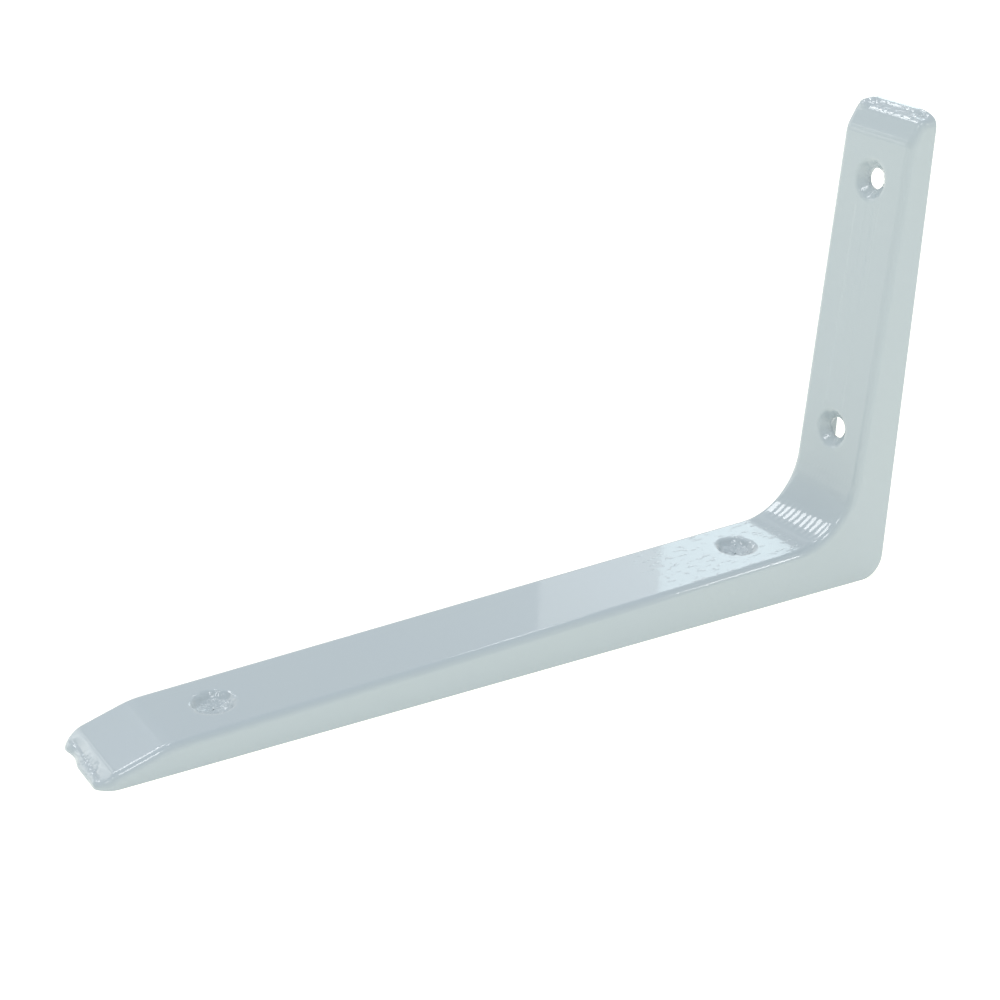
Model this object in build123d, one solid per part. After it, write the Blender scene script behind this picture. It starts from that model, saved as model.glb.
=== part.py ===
from build123d import *

import os
from dataclasses import dataclass
from math import atan, cos, degrees, radians, tan

# A shelf bracket pressed from one piece of sheet steel. It is a U-section bent into an L:
# the web runs along the inside of the L, and a flange on each side reaches back to the
# wall and to the shelf. Both arms get shallower towards the tip. There the sheet ramps
# down, a steeper lip closes the channel, and a short toe lies flat on the wall or the
# shelf. Each arm has two countersunk, pressed-in holes.
#
# All sizes are in millimetres. The origin is the corner where the wall plane (X = 0) and
# the shelf plane (Z = 0) meet, half way across. X runs along the long arm, Z up the short
# one, Y across.

# Sheet and section
SHEET = 1.5  # thickness of the steel
WIDTH = 22.2  # across the outsides of the two flanges
BEND_R = 0.3  # inside radius where the web and what follows it turn into the flanges
LIP_R = 1.5  # inside radius from the ramp into the lip
TOE_R = 0.5  # in the valley between the lip and the toe
TOE_DEPTH = 1.4  # thickness of the toe, where the sheet is pressed flat

# The corner of the L
INNER_CORNER_R = 16.0  # web's face, in the angle between the arms
OUTER_CORNER_R = 5.6  # flanges' corner, at the wall and the shelf

# Long arm
LONG_LENGTH = 200.0  # from the wall plane to the tip
LONG_ROOT_DEPTH = 12.7  # web's height over the rims, run on to the wall plane
LONG_TIP_DEPTH = 5.9  # the same, run on to the tip
LONG_RAMP = 15.2  # from the start of the ramp to the tip
LONG_RAMP_R = 18.0  # bend from the web into the ramp
LONG_LIP = 3.8  # from the start of the lip to the tip
LONG_LIP_DEPTH = 3.0  # height over the rims at which the ramp turns into the lip
LONG_TOE = 1.8  # from the start of the toe to the tip
LONG_TIP_R = 4.4  # corners of the tip, seen from above
LONG_HOLE_ROOT = 37.0  # from the wall plane to the hole near the corner
LONG_HOLE_TIP = 29.0  # from the tip to the outer hole

# Short arm, measured in the same way from the shelf plane
SHORT_LENGTH = 113.0
SHORT_ROOT_DEPTH = 12.6
SHORT_TIP_DEPTH = 6.5
SHORT_RAMP = 6.4
SHORT_RAMP_R = 6.0
SHORT_LIP = 1.6
SHORT_LIP_DEPTH = 4.1
SHORT_TOE = 0.6
SHORT_TIP_R = 3.5
SHORT_HOLE_ROOT = 36.5
SHORT_HOLE_TIP = 16.5

# Countersunk holes
HOLE_DIA = 5.3  # the screw's hole
DIMPLE_DIA = 9.2  # where the cone would meet the web's face without its rounding
DIMPLE_ANGLE = 90.0  # of the whole cone
DIMPLE_RIM_R = 1.5  # rounding from the web's face into the cone
HOLE_LAND = 0.6  # straight wall under the cone
CONE_SLOPE = tan(radians(DIMPLE_ANGLE / 2))
CONE_DEPTH = (DIMPLE_DIA - HOLE_DIA) / 2 / CONE_SLOPE

# How far the rims and the cutting tools run out past the part
OVER = 4.0


@dataclass(frozen=True)
class Arm:
    """One arm in its own frame: s along it from the other arm's rims, h over its own rims."""

    length: float
    root_depth: float
    tip_depth: float
    ramp: float
    ramp_r: float
    lip: float
    lip_depth: float
    toe: float
    tip_r: float
    holes: tuple
    frame: Plane

    @property
    def fall(self):
        """How much the web drops towards the rims for each millimetre along the arm."""
        return (self.root_depth - self.tip_depth) / self.length

    def web(self, s):
        """Height of the web's face at s."""
        return self.root_depth - self.fall * s

    def on_web(self, s):
        """A frame on the web's face at s, with its Z square to the face."""
        tilt = Rot(0, degrees(atan(self.fall)), 0)
        return self.frame * Pos(s, 0, self.web(s)) * tilt

    def end_points(self):
        """The side outline from the start of the ramp to past the tip's rim, as (s, h)."""
        ramp_start = self.length - self.ramp
        return (
            (ramp_start, self.web(ramp_start)),
            (self.length - self.lip, self.lip_depth),
            (self.length - self.toe, TOE_DEPTH),
            (self.length, TOE_DEPTH),
            (self.length, -OVER),
        )


LONG = Arm(
    length=LONG_LENGTH,
    root_depth=LONG_ROOT_DEPTH,
    tip_depth=LONG_TIP_DEPTH,
    ramp=LONG_RAMP,
    ramp_r=LONG_RAMP_R,
    lip=LONG_LIP,
    lip_depth=LONG_LIP_DEPTH,
    toe=LONG_TOE,
    tip_r=LONG_TIP_R,
    holes=(LONG_HOLE_ROOT, LONG_LENGTH - LONG_HOLE_TIP),
    frame=Plane.XY,
)
SHORT = Arm(
    length=SHORT_LENGTH,
    root_depth=SHORT_ROOT_DEPTH,
    tip_depth=SHORT_TIP_DEPTH,
    ramp=SHORT_RAMP,
    ramp_r=SHORT_RAMP_R,
    lip=SHORT_LIP,
    lip_depth=SHORT_LIP_DEPTH,
    toe=SHORT_TOE,
    tip_r=SHORT_TIP_R,
    holes=(SHORT_HOLE_ROOT, SHORT_LENGTH - SHORT_HOLE_TIP),
    frame=Plane(origin=(0, 0, 0), x_dir=(0, 0, 1), z_dir=(1, 0, 0)),
)
ARMS = (LONG, SHORT)


def web_corner():
    """Where the two webs' faces would meet if the L had a sharp inner corner, as (x, z)."""
    x = (SHORT.root_depth - SHORT.fall * LONG.root_depth) / (1 - LONG.fall * SHORT.fall)
    return x, LONG.web(x)


def side_face():
    """The bracket seen from the side, with its rims run out past the wall and the shelf."""
    short_end = [(h, s) for s, h in SHORT.end_points()]
    points = [(-OVER, -OVER), *reversed(LONG.end_points()), web_corner(), *short_end]
    lip_r = LIP_R + SHEET
    long_radii = [0, 0, TOE_R, lip_r, LONG.ramp_r]
    short_radii = [SHORT.ramp_r, lip_r, TOE_R, 0, 0]
    radii = [0, *long_radii, INNER_CORNER_R, *short_radii]
    return make_face(FilletPolyline(*points, radius=radii, close=True))


def tip_face(form, arm):
    """The upright face that closes a form at an arm's tip."""
    along = arm.frame.x_dir
    ends = [f for f in form.faces() if f.normal_at().dot(along) > 0.999]
    return max(ends, key=lambda f: f.center().dot(along))


def web_border(form, tips):
    """The edges round the web and all that follows it to the tips."""
    patch = [
        f
        for f in form.faces()
        if abs(f.normal_at().Y) < 0.01
        and min(f.normal_at().X, f.normal_at().Z) > -0.01
        and not any(f == tip for tip in tips)
    ]
    edges = [e for f in patch for e in f.edges()]
    return [e for e in edges if edges.count(e) == 1]


def pressed_form(inset):
    """The bracket as a filled block with its rims run out. An inset of 0 gives the outside
    of the sheet, and an inset of the sheet's thickness gives the hollow inside."""
    outline = side_face()
    if inset:
        outline = offset(outline, -inset)
    form = extrude(Plane.XZ * outline, WIDTH / 2 - inset, both=True)
    for arm in ARMS:
        upright = [e for e in tip_face(form, arm).edges() if abs(e.tangent_at(0.5).Y) < 0.01]
        form = fillet(upright, arm.tip_r - inset)
    tips = [tip_face(form, arm) for arm in ARMS]
    return fillet(web_border(form, tips), BEND_R + SHEET - inset)


def room_in_front():
    """All that lies in front of the wall and the shelf, with the flanges' corner rounded."""
    x, z = LONG.length + OVER, SHORT.length + OVER
    radii = [OUTER_CORNER_R, 0, 0, 0]
    outline = FilletPolyline((0, 0), (x, 0), (x, z), (0, z), radius=radii, close=True)
    return extrude(Plane.XZ * make_face(outline), WIDTH, both=True)


def turned(*profile):
    """A round solid on the Z axis, from its profile as (radius, height) points."""
    top, bottom = profile[0][1], profile[-1][1]
    half = make_face(Polyline((0, top), *profile, (0, bottom), close=True))
    return revolve(Plane.XZ * half, Axis.Z)


def countersunk(outside, place):
    """The outside of the sheet with a screw's hole sunk into it, its rim rounded."""
    mouth = (DIMPLE_DIA / 2 + OVER * CONE_SLOPE, OVER)
    cone_end = (HOLE_DIA / 2, -CONE_DEPTH)
    bottom = (HOLE_DIA / 2, -CONE_DEPTH - HOLE_LAND - OVER)
    outside -= place * turned(mouth, cone_end, bottom)
    rings = [e for e in outside.edges() if e.geom_type == GeomType.CIRCLE and e.is_closed]
    rim = min(rings, key=lambda e: (e.arc_center - place.position).length)
    return fillet(rim, DIMPLE_RIM_R)


def boss(place):
    """The back of a pressed-in hole, a sheet's thickness outside its cone."""
    floor = CONE_DEPTH + HOLE_LAND
    mouth_r = DIMPLE_DIA / 2 + SHEET / cos(radians(DIMPLE_ANGLE / 2))
    return place * turned((mouth_r, 0), (mouth_r - floor * CONE_SLOPE, -floor))


def main():
    outside = pressed_form(0) & room_in_front()
    hollow = pressed_form(SHEET)
    for arm in ARMS:
        for s in arm.holes:
            place = arm.on_web(s)
            outside = countersunk(outside, place)
            hollow -= boss(place)
    bracket = outside - hollow
    print(bracket.volume, len(bracket.solids()), bracket.is_valid)
    os.makedirs("parts", exist_ok=True)
    export_step(bracket.solid(), "parts/bracket.step")


main()
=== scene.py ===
import logging
import math
from collections.abc import Callable
from dataclasses import dataclass, field
from enum import Enum

import bmesh
import bpy
from mathutils import Matrix, Vector

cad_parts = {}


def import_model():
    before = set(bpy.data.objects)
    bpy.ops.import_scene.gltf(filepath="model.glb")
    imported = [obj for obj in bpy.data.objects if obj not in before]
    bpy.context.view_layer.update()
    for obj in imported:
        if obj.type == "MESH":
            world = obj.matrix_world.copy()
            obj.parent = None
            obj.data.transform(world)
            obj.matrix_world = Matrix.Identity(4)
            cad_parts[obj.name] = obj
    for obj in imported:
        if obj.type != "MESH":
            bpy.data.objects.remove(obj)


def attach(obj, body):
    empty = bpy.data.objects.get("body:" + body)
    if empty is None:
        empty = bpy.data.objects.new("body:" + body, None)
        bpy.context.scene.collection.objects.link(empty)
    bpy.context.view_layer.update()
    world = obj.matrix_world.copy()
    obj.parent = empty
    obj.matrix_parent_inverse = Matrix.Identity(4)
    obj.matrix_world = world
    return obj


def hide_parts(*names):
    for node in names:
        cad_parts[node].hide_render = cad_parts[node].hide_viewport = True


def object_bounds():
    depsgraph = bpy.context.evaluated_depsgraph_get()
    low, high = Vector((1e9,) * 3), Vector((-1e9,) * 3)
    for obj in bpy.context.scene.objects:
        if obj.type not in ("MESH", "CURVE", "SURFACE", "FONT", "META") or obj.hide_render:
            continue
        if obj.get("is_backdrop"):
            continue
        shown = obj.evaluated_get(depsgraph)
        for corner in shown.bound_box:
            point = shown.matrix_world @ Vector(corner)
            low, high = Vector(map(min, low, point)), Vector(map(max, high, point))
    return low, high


log = logging.getLogger("bracket")

MM = 0.001

Point = tuple[float, float, float]
Colour = tuple[float, float, float]
Setting = float | tuple[float, ...]
Socket = bpy.types.NodeSocket

# A Mix node keeps all its kinds' sockets in one list. These are the ones for colours.
MIX_SHARE, MIX_FIRST, MIX_SECOND, MIX_RESULT = 0, 6, 7, 2


class Lamp(Enum):
    """The studio's lights, each with a name of its own."""

    WINDOW = "window"
    PALE_PANEL = "pale_panel"
    HIGH_STRIP = "high_strip"
    GLOW_PANEL = "glow_panel"
    SIDE_STRIP = "side_strip"
    FRONT_FILL = "front_fill"
    TOP_PANE = "top_pane"
    TIP_PANEL = "tip_panel"
    LIP_PANEL = "lip_panel"
    UNDER_LIGHT = "under_light"
    TOP_FRONT = "top_front"
    BACK_SPOT = "back_spot"
    FRONT_SPOT = "front_spot"


class Axis(Enum):
    """A direction that the sheet is cut across."""

    X = (1.0, 0.0, 0.0)
    Y = (0.0, 1.0, 0.0)
    Z = (0.0, 0.0, 1.0)

    @property
    def index(self) -> int:
        """Give the axis's place among a vector's numbers."""
        return list(Axis).index(self)


def mm(x: float, y: float, z: float) -> Vector:
    """Turn a place in millimetres into Blender's metres."""
    return Vector((x, y, z)) * MM


def clamped(share: float) -> float:
    """Keep a share between 0 and 1."""
    return max(0.0, min(1.0, share))


def deselect_all() -> None:
    """Leave nothing selected, so that an operator acts only on what is chosen next."""
    for thing in bpy.context.selected_objects:
        thing.select_set(False)


def choose(piece: bpy.types.Object) -> None:
    """Make one object the only selected and active one."""
    deselect_all()
    piece.select_set(True)
    bpy.context.view_layer.objects.active = piece


def set_inputs(node: bpy.types.Node, values: dict[str, Setting]) -> None:
    """Set a node's inputs by their names."""
    for name, value in values.items():
        node.inputs[name].default_value = value


@dataclass(frozen=True)
class Zone:
    """A box round a stretch of the bracket, in millimetres."""

    low: Point
    high: Point

    def holds(self, place: Vector) -> bool:
        """Tell whether a place in metres lies in the zone."""
        return all(a <= c / MM <= b for a, b, c in zip(self.low, self.high, place))


@dataclass(frozen=True)
class Fade:
    """A share that is 0 at a start and 1 after a run, in millimetres.

    With a run below 0, the share grows backwards from the start.
    """

    start: float
    run: float

    def at(self, value: float) -> float:
        """Give the share at a value, not yet kept between 0 and 1."""
        return (value - self.start) / self.run


@dataclass(frozen=True)
class Push:
    """A local move of the sheet in millimetres, which fades out at its reach."""

    place: Point
    shift: Point
    reach: float


@dataclass(frozen=True)
class Dimple:
    """A countersunk hole, and how thickly the paint lies in it."""

    middle: Point
    narrowing: float
    lumpy: float

    def along(self) -> Axis:
        """Give the direction of the arm that the hole is in."""
        return Axis.X if self.middle[0] > self.middle[2] else Axis.Z

    def down(self) -> Axis:
        """Give the direction that the hole is sunk along."""
        return Axis.Z if self.along() is Axis.X else Axis.X


@dataclass
class SheetForm:
    """The bracket's sheet as one mesh, shaped further in edit mode.

    Points closer than the merge distance, in millimetres, become one, and faces that
    meet at less than the flat angle, in degrees, become one flat.
    """

    piece: bpy.types.Object
    merge_distance: float = 0.001
    flat_angle: float = 0.02

    def mesh(self) -> bmesh.types.BMesh:
        """Give the mesh that is open in edit mode."""
        return bmesh.from_edit_mesh(self.piece.data)

    def open(self) -> None:
        """Open the sheet in edit mode, with its faces to choose from."""
        choose(self.piece)
        bpy.ops.object.mode_set(mode="EDIT")
        bpy.ops.mesh.select_mode(type="FACE")

    def close(self) -> None:
        """Show all of the sheet again and leave edit mode."""
        bpy.ops.mesh.reveal(select=False)
        bpy.ops.object.mode_set(mode="OBJECT")

    def pick_faces(self, test: Callable[[bmesh.types.BMFace], bool]) -> None:
        """Select the shown faces that pass a test.

        Args:
            test: Tells whether a face is wanted.
        """
        bpy.ops.mesh.select_all(action="DESELECT")
        form = self.mesh()
        for face in form.faces:
            if not face.hide and test(face):
                face.select_set(True)
        bmesh.update_edit_mesh(self.piece.data)

    def merge_triangles(self) -> None:
        """Join the solid's loose triangles into one closed sheet with whole flats."""
        bpy.ops.mesh.select_all(action="SELECT")
        bpy.ops.mesh.remove_doubles(threshold=self.merge_distance * MM)
        bpy.ops.mesh.dissolve_limited(angle_limit=math.radians(self.flat_angle))

    def cut(self, axis: Axis, at: float) -> None:
        """Cut all that is shown across an axis.

        Args:
            axis: The direction square to the cut.
            at: The cut's place along the axis, in millimetres.
        """
        bpy.ops.mesh.select_all(action="SELECT")
        square = Vector(axis.value)
        bpy.ops.mesh.bisect(plane_co=square * at * MM, plane_no=square)

    def refine(self, zone: Zone, cells: dict[Axis, float]) -> None:
        """Cut the sheet in a zone into a fine grid.

        Args:
            zone: The stretch that is refined.
            cells: The grid's spacing in millimetres along each axis that is cut across.
        """
        self.pick_faces(lambda face: zone.holds(face.calc_center_median()))
        bpy.ops.mesh.hide(unselected=True)
        for axis, cell in cells.items():
            start, end = zone.low[axis.index], zone.high[axis.index]
            count = round((end - start) / cell)
            for step in range(1, count):
                self.cut(axis, start + (end - start) * step / count)
        bpy.ops.mesh.reveal(select=False)

    def pick_points(self, test: Callable[[Vector], bool]) -> bool:
        """Select the vertices at the places that pass a test.

        Args:
            test: Tells whether a place in millimetres is wanted.

        Returns:
            Whether any vertex is selected.
        """
        bpy.ops.mesh.select_all(action="DESELECT")
        wanted = [vertex for vertex in self.mesh().verts if test(vertex.co / MM)]
        for vertex in wanted:
            vertex.select_set(True)
        bmesh.update_edit_mesh(self.piece.data)
        return bool(wanted)

    def scale_picked(self, factors: Point, middle: Vector) -> None:
        """Scale what is selected about a middle in metres."""
        bpy.ops.transform.resize(value=factors, center_override=middle)

    def keep_inside(self, low: Vector, high: Vector) -> None:
        """Press what stands out of a box flat against the box's side.

        Args:
            low: The box's lowest corner in metres.
            high: The box's highest corner in metres.
        """
        for index in range(3):
            flat = tuple(0.0 if side == index else 1.0 for side in range(3))
            least, most = low[index] / MM, high[index] / MM
            if self.pick_points(lambda place: place[index] < least):
                self.scale_picked(flat, low)
            if self.pick_points(lambda place: place[index] > most):
                self.scale_picked(flat, high)

    def push(self, push: Push) -> None:
        """Move the sheet round a point by proportional editing."""
        bpy.ops.mesh.select_all(action="DESELECT")
        form = self.mesh()
        place = mm(*push.place)
        nearest = min(form.verts, key=lambda vertex: (vertex.co - place).length)
        nearest.select_set(True)
        bmesh.update_edit_mesh(self.piece.data)
        bpy.ops.transform.translate(
            value=mm(*push.shift),
            use_proportional_edit=True,
            proportional_edit_falloff="SMOOTH",
            proportional_size=push.reach * MM,
        )


@dataclass(frozen=True)
class Crumple:
    """Lumps that the press and the thick paint left in the sheet, in millimetres."""

    name: str
    lump: float
    height: float

    def apply(self, piece: bpy.types.Object, strength: Callable[[Vector], float]) -> None:
        """Displace the sheet along its normals where it is crumpled.

        Args:
            piece: The sheet.
            strength: Gives how strongly a place in millimetres is crumpled, from 0 to 1.
        """
        group = piece.vertex_groups.new(name=self.name)
        for vertex in piece.data.vertices:
            share = strength(vertex.co / MM)
            if share > 0:
                group.add([vertex.index], share, "REPLACE")
        lumps = bpy.data.textures.new(self.name, "CLOUDS")
        lumps.noise_scale = self.lump * MM
        lumps.noise_depth = 1
        choose(piece)
        swell = piece.modifiers.new(self.name, "DISPLACE")
        swell.texture = lumps
        swell.texture_coords = "LOCAL"
        swell.vertex_group = group.name
        swell.mid_level = 0.5
        swell.strength = self.height * MM
        bpy.ops.object.modifier_apply(modifier=swell.name)
        piece.vertex_groups.clear()


@dataclass(frozen=True)
class ShaderTree:
    """The nodes of a material or of the world, with the kinds of node used here."""

    tree: bpy.types.NodeTree

    def add(self, kind: str, values: dict[str, Setting] | None = None) -> bpy.types.Node:
        """Add a node.

        Args:
            kind: The node's kind, as in the name of its type.
            values: What its inputs are set to, by their names.

        Returns:
            The node.
        """
        node = self.tree.nodes.new(f"ShaderNode{kind}")
        set_inputs(node, values or {})
        return node

    def link(self, source: Socket, target: Socket) -> None:
        """Join one node's output to another's input."""
        self.tree.links.new(source, target)

    def coordinate(self, place: Socket, name: str) -> Socket:
        """Take one coordinate of a place."""
        split = self.add("SeparateXYZ")
        self.link(place, split.inputs["Vector"])
        return split.outputs[name]

    def blend(self, share: Socket, first: Colour, second: Colour) -> Socket:
        """Blend two colours.

        Args:
            share: How much of the second colour there is.
            first: The colour where the share is 0.
            second: The colour where the share is 1.

        Returns:
            The blended colour.
        """
        mix = self.add("Mix")
        mix.data_type = "RGBA"
        mix.inputs[MIX_FIRST].default_value = (*first, 1.0)
        mix.inputs[MIX_SECOND].default_value = (*second, 1.0)
        self.link(share, mix.inputs[MIX_SHARE])
        return mix.outputs[MIX_RESULT]

    def noise(self, place: Socket, size: float, detail: float) -> Socket:
        """Draw soft lumps.

        Args:
            place: The place on the surface.
            size: The number of lumps to the metre.
            detail: How much finer lumps are added.

        Returns:
            The lumps' height, from 0 to 1.
        """
        lumps = self.add("TexNoise", {"Scale": size, "Detail": detail})
        self.link(place, lumps.inputs["Vector"])
        return lumps.outputs["Fac"]

    def fade(self, value: Socket, none_at: float, all_at: float) -> Socket:
        """Turn a value into a share that goes smoothly from 0 to 1.

        Args:
            value: The value that the share follows.
            none_at: The value at which the share is 0.
            all_at: The value at which the share is 1.

        Returns:
            The share.
        """
        share = self.add("MapRange", {"From Min": none_at, "From Max": all_at})
        share.interpolation_type = "SMOOTHSTEP"
        self.link(value, share.inputs["Value"])
        return share.outputs["Result"]

    def times(self, one: Socket, other: Socket) -> Socket:
        """Multiply two values."""
        product = self.add("Math")
        product.operation = "MULTIPLY"
        self.link(one, product.inputs[0])
        self.link(other, product.inputs[1])
        return product.outputs["Value"]

    def bump(self, height: Socket, depth: float, under: Socket | None = None) -> Socket:
        """Raise one layer of bumps on another.

        Args:
            height: The layer's height, from 0 to 1.
            depth: The height's full range in metres.
            under: The normal that the layer lies on, if it isn't the bare surface.

        Returns:
            The normal with the layer on it.
        """
        layer = self.add("Bump", {"Distance": depth})
        self.link(height, layer.inputs["Height"])
        if under:
            self.link(under, layer.inputs["Normal"])
        return layer.outputs["Normal"]


@dataclass(frozen=True)
class GlossPaint:
    """A thick gloss paint with orange peel, creases, and ribs at the drawn corner.

    A size is the number of lumps or waves to the metre. Depths, places and reaches are
    in metres. The creases lie between their start and end and fade out towards both.
    The ribs are full within a share of their reach.
    """

    colour: Colour = (0.405, 0.470, 0.488)
    cool_colour: Colour = (0.400, 0.462, 0.498)
    tint_size: float = 45.0
    tint_detail: float = 2.0
    roughness: float = 0.3
    specular: float = 0.35
    coat: float = 1.0
    coat_roughness: float = 0.03
    peel_size: float = 500.0
    peel_detail: float = 3.0
    peel_depth: float = 0.000005
    crease_size: float = 900.0
    crease_detail: float = 2.0
    crease_stretch: float = 0.4
    crease_foot: float = 0.56
    crease_crest: float = 0.72
    crease_depth: float = 0.00004
    crease_start: float = 0.026
    crease_start_fade: float = 0.8
    crease_end: float = 0.066
    crease_end_fade: float = 0.9
    rib_size: float = 178.0
    rib_distortion: float = 2.0
    rib_detail: float = 1.0
    rib_detail_scale: float = 1.5
    rib_depth: float = 0.000032
    rib_middle: Point = (0.0183, 0.0, 0.0143)
    rib_reach: float = 0.0038
    rib_full: float = 0.5
    slot: str = "paint"

    def tint(self, nodes: ShaderTree, place: Socket) -> Socket:
        """Let the colour drift a little over the surface.

        Args:
            nodes: The material's nodes.
            place: The place on the surface.

        Returns:
            The drifting colour.
        """
        share = nodes.noise(place, self.tint_size, self.tint_detail)
        return nodes.blend(share, self.colour, self.cool_colour)

    def creases(self, nodes: ShaderTree, place: Socket) -> Socket:
        """Draw short creases in the thick paint on the long arm near the corner.

        Args:
            nodes: The material's nodes.
            place: The place on the surface.

        Returns:
            The creases' height, from 0 to 1.
        """
        scale = (self.crease_stretch, 1.0, self.crease_stretch)
        stretch = nodes.add("Mapping", {"Scale": scale})
        nodes.link(place, stretch.inputs["Vector"])
        lumps = nodes.noise(stretch.outputs["Vector"], self.crease_size, self.crease_detail)
        crease = nodes.fade(lumps, self.crease_foot, self.crease_crest)
        x = nodes.coordinate(place, "X")
        near = nodes.fade(x, self.crease_end, self.crease_end * self.crease_end_fade)
        past = nodes.fade(x, self.crease_start * self.crease_start_fade, self.crease_start)
        return nodes.times(crease, nodes.times(near, past))

    def ribs(self, nodes: ShaderTree, place: Socket) -> Socket:
        """Draw ribs across the inner corner, along the sheet's run.

        Args:
            nodes: The material's nodes.
            place: The place on the surface.

        Returns:
            The ribs' height, which fades out along both arms.
        """
        look = {
            "Scale": self.rib_size,
            "Distortion": self.rib_distortion,
            "Detail": self.rib_detail,
            "Detail Scale": self.rib_detail_scale,
        }
        waves = nodes.add("TexWave", look)
        waves.wave_type = "BANDS"
        waves.bands_direction = "Y"
        nodes.link(place, waves.inputs["Vector"])
        away = nodes.add("VectorMath")
        away.operation = "MULTIPLY_ADD"
        start, factor, added = away.inputs[:3]
        nodes.link(place, start)
        factor.default_value = (1.0, 0.0, 1.0)
        added.default_value = tuple(-side for side in self.rib_middle)
        far = nodes.add("VectorMath")
        far.operation = "LENGTH"
        nodes.link(away.outputs["Vector"], far.inputs[0])
        full_reach = self.rib_reach * self.rib_full
        near = nodes.fade(far.outputs["Value"], self.rib_reach, full_reach)
        return nodes.times(waves.outputs["Fac"], near)

    def material(self) -> bpy.types.Material:
        """Build the paint's material.

        Returns:
            A node-based material that reads Object coordinates.
        """
        paint = bpy.data.materials.new("gloss_paint")
        paint.use_nodes = True
        nodes = ShaderTree(paint.node_tree)
        look = {
            "Roughness": self.roughness,
            "Specular IOR Level": self.specular,
            "Coat Weight": self.coat,
            "Coat Roughness": self.coat_roughness,
        }
        shader = paint.node_tree.nodes["Principled BSDF"]
        set_inputs(shader, look)
        place = nodes.add("TexCoord").outputs["Object"]
        peel = nodes.noise(place, self.peel_size, self.peel_detail)
        normal = nodes.bump(self.ribs(nodes, place), self.rib_depth)
        normal = nodes.bump(peel, self.peel_depth, normal)
        normal = nodes.bump(self.creases(nodes, place), self.crease_depth, normal)
        nodes.link(self.tint(nodes, place), shader.inputs["Base Color"])
        nodes.link(normal, shader.inputs["Normal"])
        nodes.link(normal, shader.inputs["Coat Normal"])
        return paint


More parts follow.
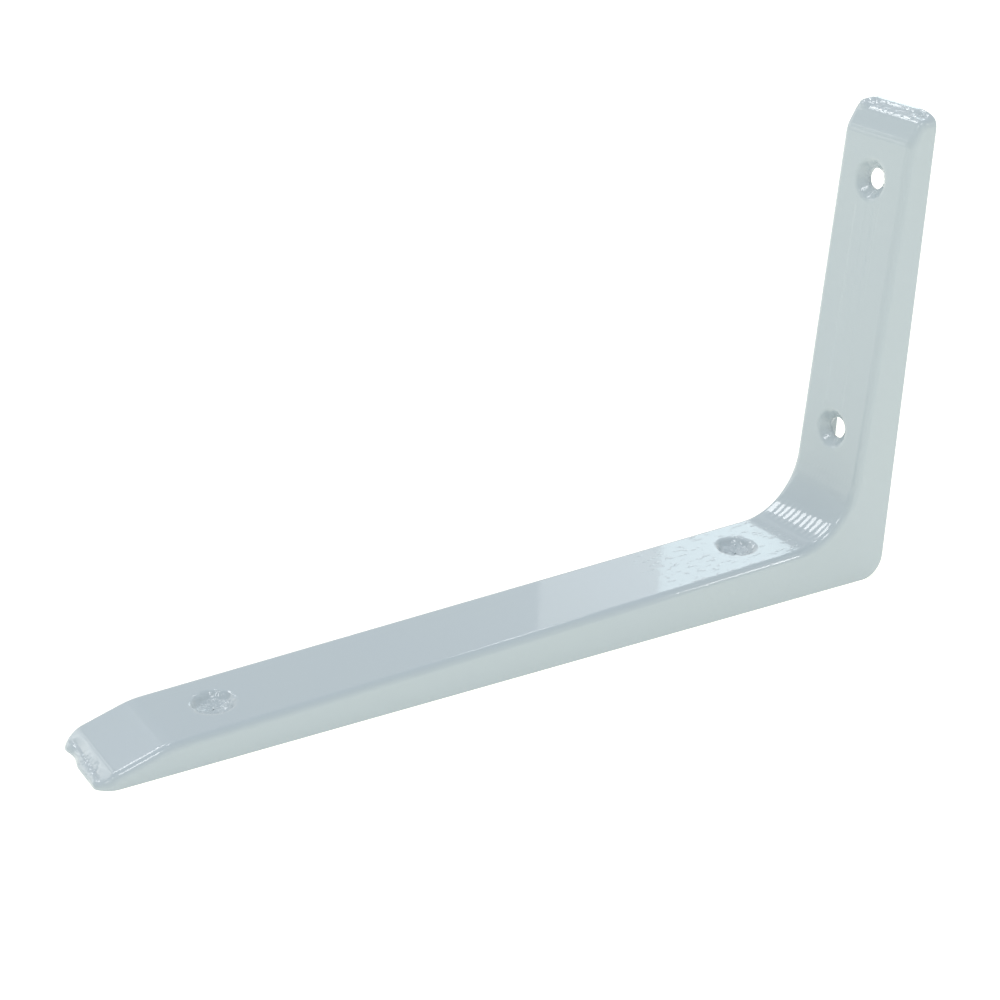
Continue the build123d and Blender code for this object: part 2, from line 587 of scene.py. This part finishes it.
@dataclass
class PressedBracket:
    """The bracket: one piece of pressed sheet, crumpled at its tips, in gloss paint.

    All sizes are in millimetres. A hole's straight wall lies from the wall's top to its
    bottom below the web, within the hole's radius and a margin. The fades say where the
    lumps in the dimples and on the two toes are.
    """

    node: str = "bracket"
    name: str = "painted_bracket"
    body: str = "root"
    paint: GlossPaint = field(default_factory=GlossPaint)
    long_tip: Zone = Zone((186.0, -11.2, -0.1), (200.1, 11.2, 6.5))
    short_tip: Zone = Zone((-0.1, -11.2, 104.0), (7.2, 11.2, 113.1))
    cell: float = 0.3
    wide_bends: tuple[Zone, ...] = (
        Zone((9.0, -9.4, 9.0), (27.5, 9.4, 29.0)),
        Zone((181.5, -9.4, 3.0), (186.0, 9.4, 9.0)),
    )
    bend_cell: float = 0.6
    smooth_angle: float = 32.0
    flat_area: float = 60.0
    flat_weight: int = 100
    dimples: tuple[Dimple, ...] = (
        Dimple((37.0, 0.0, 11.4), 0.1, 1.0),
        Dimple((171.0, 0.0, 6.9), 0.1, 1.0),
        Dimple((10.6, 0.0, 36.5), 0.95, 0.15),
        Dimple((7.4, 0.0, 96.5), 0.91, 0.3),
    )
    dimple_reach: float = 6.2
    web_reach: float = 9.4
    hole_radius: float = 2.65
    wall_margin: float = 0.3
    wall_top: float = 1.2
    wall_bottom: float = 4.0
    dimple_lumps: Crumple = Crumple("dimple_lumps", 1.7, 0.55)
    dimple_rim: Fade = Fade(5.0, -0.8)
    tip_lumps: Crumple = Crumple("tip_lumps", 0.9, 0.26)
    long_toe_start: Fade = Fade(196.8, 1.0)
    long_toe_end: Fade = Fade(199.5, -0.5)
    long_toe_top: Fade = Fade(0.8, 0.4)
    long_toe_middle: float = 1.5
    long_toe_sides: Fade = Fade(5.5, -2.0)
    short_toe_start: Fade = Fade(110.9, 0.8)
    short_toe_top: Fade = Fade(0.8, 0.4)
    tip_pushes: tuple[Push, ...] = (
        Push((199.96, -4.2, 0.7), (-0.8, 0.0, 0.0), 4.6),
        Push((199.4, 8.2, 0.7), (0.5, 0.0, 0.0), 3.2),
        Push((2.6, -8.5, 112.0), (0.5, -0.3, 0.5), 3.0),
        Push((1.2, 8.6, 112.6), (0.0, 0.0, -0.6), 3.4),
    )

    def copy_of_solid(self) -> SheetForm:
        """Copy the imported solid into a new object.

        Returns:
            The copy, ready to be shaped.
        """
        mesh = bpy.data.objects[self.node].data.copy()
        piece = bpy.data.objects.new(self.name, mesh)
        bpy.context.scene.collection.objects.link(piece)
        return SheetForm(piece)

    def grid(self, *axes: Axis) -> dict[Axis, float]:
        """Give a fine grid's spacing along the axes that it is cut across, in order."""
        return dict.fromkeys(axes, self.cell)

    def open_dimples(self, form: SheetForm) -> None:
        """Narrow each countersunk hole by the paint and refine the sheet round it."""
        reach = Vector((self.dimple_reach, self.web_reach, self.dimple_reach))
        for dimple in self.dimples:
            along, down = dimple.along(), dimple.down().index
            middle = Vector(dimple.middle)
            form.cut(along, middle[along.index] - self.dimple_reach)
            form.cut(along, middle[along.index] + self.dimple_reach)
            form.pick_points(lambda place: self.in_hole(place - middle, down))
            narrow = tuple(1.0 if side == down else dimple.narrowing for side in range(3))
            form.scale_picked(narrow, middle * MM)
            zone = Zone(tuple(middle - reach), tuple(middle + reach))
            form.refine(zone, self.grid(along, Axis.Y))

    def in_hole(self, away: Vector, down: int) -> bool:
        """Tell whether a place lies on a hole's straight wall.

        Args:
            away: The way from the hole's middle on the web to the place.
            down: The index of the axis that the hole is sunk along.

        Returns:
            Whether the place is on the wall.
        """
        if not self.wall_top < -away[down] < self.wall_bottom:
            return False
        aside = Vector(0.0 if side == down else away[side] for side in range(3))
        return aside.length < self.hole_radius + self.wall_margin

    def crumpled_dimples(self, place: Vector) -> float:
        """Give the share of the dimples' lumps: all in the cone, none outside.

        Args:
            place: The place in millimetres.

        Returns:
            The share, times how lumpy the dimple is.
        """
        shares = []
        for dimple in self.dimples:
            away = (place - Vector(dimple.middle)).length
            shares.append(dimple.lumpy * clamped(self.dimple_rim.at(away)))
        return max(shares)

    def crumpled_tips(self, place: Vector) -> float:
        """Give the share of the tips' lumps: all on the toes, none up the ramps.

        Args:
            place: The place in millimetres.

        Returns:
            The share, from 0 to 1.
        """
        long_share = min(
            self.long_toe_start.at(place.x),
            self.long_toe_end.at(place.x),
            self.long_toe_top.at(place.z),
            self.long_toe_sides.at(abs(place.y - self.long_toe_middle)),
        )
        short_share = min(
            self.short_toe_start.at(place.z), self.short_toe_top.at(place.x)
        )
        return clamped(max(long_share, short_share))

    def press_tips(self, form: SheetForm) -> None:
        """Refine both tips and press them out of true, as the photograph shows."""
        form.cut(Axis.X, self.long_tip.low[Axis.X.index])
        form.cut(Axis.Z, self.short_tip.low[Axis.Z.index])
        form.refine(self.long_tip, self.grid(Axis.X, Axis.Y, Axis.Z))
        form.refine(self.short_tip, self.grid(Axis.Z, Axis.Y, Axis.X))
        for push in self.tip_pushes:
            form.push(push)

    def even_bends(self, form: SheetForm) -> None:
        """Cut the wide bends' strips up, so that each is shaded as one round bend."""
        for zone in self.wide_bends:
            form.refine(zone, {Axis.Y: self.bend_cell})

    def smooth(self, piece: bpy.types.Object) -> None:
        """Shade the bends smooth and keep the flat stretches flat."""
        choose(piece)
        bpy.ops.object.shade_smooth_by_angle(angle=math.radians(self.smooth_angle))
        flats = piece.vertex_groups.new(name="flats")
        for face in piece.data.polygons:
            if face.area > self.flat_area * MM * MM:
                flats.add(list(face.vertices), 1.0, "REPLACE")
        even = piece.modifiers.new("even_normals", "WEIGHTED_NORMAL")
        even.keep_sharp = True
        even.weight = self.flat_weight
        even.vertex_group = flats.name
        bpy.ops.object.modifier_apply(modifier=even.name)
        piece.vertex_groups.clear()

    def build(self, low: Vector, high: Vector) -> bpy.types.Object:
        """Shape, smooth and paint the bracket.

        Args:
            low: The lowest corner of the solid's box in metres, which the sheet stays in.
            high: The highest corner of that box.

        Returns:
            The finished piece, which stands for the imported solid.
        """
        form = self.copy_of_solid()
        form.open()
        form.merge_triangles()
        self.open_dimples(form)
        self.press_tips(form)
        self.even_bends(form)
        form.close()
        self.dimple_lumps.apply(form.piece, self.crumpled_dimples)
        self.tip_lumps.apply(form.piece, self.crumpled_tips)
        form.open()
        form.keep_inside(low, high)
        form.close()
        self.smooth(form.piece)
        form.piece.data.materials.clear()
        form.piece.data.materials.append(self.paint.material())
        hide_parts(self.node)
        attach(form.piece, self.body)
        return form.piece


def area_light(
    lamp: Lamp, wide: float, high: float, brightness: float
) -> bpy.types.Object:
    """Add a rectangular area light.

    Args:
        lamp: Which of the lights it is.
        wide: Its width in metres.
        high: Its height in metres.
        brightness: How bright its face is.

    Returns:
        The light's object, not yet placed or coloured.
    """
    data = bpy.data.lights.new(lamp.value, "AREA")
    data.shape = "RECTANGLE"
    data.size, data.size_y = wide, high
    data.energy = brightness * math.pi * data.size * data.size_y
    light = bpy.data.objects.new(lamp.value, data)
    bpy.context.scene.collection.objects.link(light)
    return light


@dataclass(frozen=True)
class SoftBox:
    """A rectangular light, placed by its direction from the bracket, in degrees.

    The azimuth turns from the long arm's direction towards +Y. The width and height are
    angles too, as seen from the bracket, and the distance is in metres.
    """

    lamp: Lamp
    azimuth: float
    elevation: float
    wide: float
    high: float
    brightness: float
    colour: Colour = (1.0, 1.0, 1.0)
    distance: float = 6.0

    def direction(self) -> Vector:
        """Give the unit vector from the bracket to the light."""
        turn, rise = math.radians(self.azimuth), math.radians(self.elevation)
        level = math.cos(rise)
        return Vector((level * math.cos(turn), level * math.sin(turn), math.sin(rise)))

    def side(self, angle: float) -> float:
        """Give the length in metres of a side that is seen at an angle."""
        return 2 * self.distance * math.tan(math.radians(angle / 2))

    def build(self, middle: Vector) -> None:
        """Add the light, looking at a point."""
        wide, high = self.side(self.wide), self.side(self.high)
        light = area_light(self.lamp, wide, high, self.brightness)
        light.data.color = self.colour
        light.location = middle + self.direction() * self.distance
        light.rotation_euler = (-self.direction()).to_track_quat("-Z", "Y").to_euler()


@dataclass
class Studio:
    """A plain pale floor, soft light and a camera at the photograph's viewing angle.

    Places are in millimetres, and the floor's size is in metres.
    """

    middle: Point = (60.0, 0.0, 15.0)
    floor_size: float = 12.0
    floor_colour: Colour = (0.95, 0.94, 0.87)
    floor_roughness: float = 0.9
    floor_specular: float = 0.1
    glow_colour: Colour = (1.0, 0.99, 0.9)
    floor_glow: float = 0.4
    horizon: Colour = (0.86, 0.865, 0.83)
    zenith: Colour = (0.66, 0.70, 0.77)
    camera_place: Point = (304.359, 309.076, 201.887)
    camera_right: Point = (-0.8462905, 0.5317039, 0.0329136)
    camera_down: Point = (0.1915353, 0.3613472, -0.9125472)
    lens: float = 68.204
    sensor: float = 36.0
    nearest_seen: float = 10.0
    boxes: tuple[SoftBox, ...] = (
        SoftBox(Lamp.PALE_PANEL, -129.6, 24.5, 12.6, 18.0, 0.62),
        SoftBox(Lamp.WINDOW, -132.7, 24.5, 10.3, 18.0, 1.25, (0.7, 0.94, 1.0)),
        SoftBox(Lamp.TOP_PANE, -129.5, 48.5, 4.0, 6.0, 7.0),
        SoftBox(Lamp.HIGH_STRIP, -78.5, 45.8, 20.0, 8.0, 6.0),
        SoftBox(Lamp.GLOW_PANEL, -102.5, 45.5, 12.0, 9.0, 0.5),
        SoftBox(Lamp.SIDE_STRIP, 131.2, 27.0, 4.4, 12.0, 9.0),
        SoftBox(Lamp.TOP_FRONT, 55.0, 67.0, 13.0, 13.0, 7.0),
        SoftBox(Lamp.BACK_SPOT, -98.0, 67.0, 6.5, 6.5, 7.0),
        SoftBox(Lamp.FRONT_SPOT, 8.0, 47.0, 10.0, 10.0, 7.0),
        SoftBox(Lamp.TIP_PANEL, -66.0, 20.0, 13.0, 24.0, 1.1),
        SoftBox(Lamp.LIP_PANEL, -53.0, 14.0, 14.0, 18.0, 1.1),
        SoftBox(Lamp.FRONT_FILL, 94.0, 16.0, 40.0, 26.0, 0.45, (1.0, 0.975, 0.9)),
    )
    under_place: Point = (60.0, 0.0, 0.4)
    under_size: tuple[float, float] = (110.0, 15.0)
    under_brightness: float = 1.1

    def under_light(self) -> None:
        """Let light rise into the channel, unseen by the camera, as from pale paper."""
        wide, high = (side * MM for side in self.under_size)
        light = area_light(Lamp.UNDER_LIGHT, wide, high, self.under_brightness)
        light.location = mm(*self.under_place)
        light.rotation_euler = (math.pi, 0.0, 0.0)
        light.visible_camera = False

    def floor(self) -> None:
        deselect_all()
        bpy.ops.mesh.primitive_plane_add(size=self.floor_size, location=(0.0, 0.0, 0.0))
        floor = bpy.context.object
        floor.name = "floor"
        surface = bpy.data.materials.new("floor_paper")
        surface.use_nodes = True
        look = {
            "Base Color": (*self.floor_colour, 1.0),
            "Roughness": self.floor_roughness,
            "Specular IOR Level": self.floor_specular,
            "Emission Color": (*self.glow_colour, 1.0),
            "Emission Strength": self.floor_glow,
        }
        set_inputs(surface.node_tree.nodes["Principled BSDF"], look)
        floor.data.materials.append(surface)
        floor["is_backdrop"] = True

    def world(self) -> None:
        """Surround the scene with pale light that fades a little overhead."""
        world = bpy.data.worlds.new("studio_world")
        world.use_nodes = True
        nodes = ShaderTree(world.node_tree)
        height = nodes.coordinate(nodes.add("TexCoord").outputs["Generated"], "Z")
        light = nodes.blend(height, self.horizon, self.zenith)
        nodes.link(light, world.node_tree.nodes["Background"].inputs["Color"])
        bpy.context.scene.world = world

    def camera(self) -> None:
        """Set up the camera from its right and down directions."""
        data = bpy.data.cameras.new("camera")
        data.lens = self.lens
        data.sensor_width = self.sensor
        data.clip_start = self.nearest_seen * MM
        camera = bpy.data.objects.new("camera", data)
        bpy.context.scene.collection.objects.link(camera)
        right = Vector(self.camera_right)
        up = -Vector(self.camera_down)
        back = right.cross(up)
        turn = Matrix((right, up, back)).transposed()
        place = Matrix.Translation(mm(*self.camera_place))
        camera.matrix_world = place @ turn.to_4x4()
        bpy.context.scene.camera = camera

    def build(self) -> None:
        """Set up the floor, the lights, the world and the camera."""
        self.floor()
        self.world()
        for box in self.boxes:
            box.build(mm(*self.middle))
        self.under_light()
        self.camera()
        bpy.context.scene.view_settings.view_transform = "Standard"


def main() -> None:
    """Dress the bracket and set up the studio."""
    logging.basicConfig(level=logging.INFO, format="%(name)s: %(message)s")
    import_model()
    cad_box = [list(corner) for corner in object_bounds()]
    piece = PressedBracket().build(*(Vector(corner) for corner in cad_box))
    log.info("%s: %d faces", piece.name, len(piece.data.polygons))
    Studio().build()


if __name__ == "__main__":
    main()
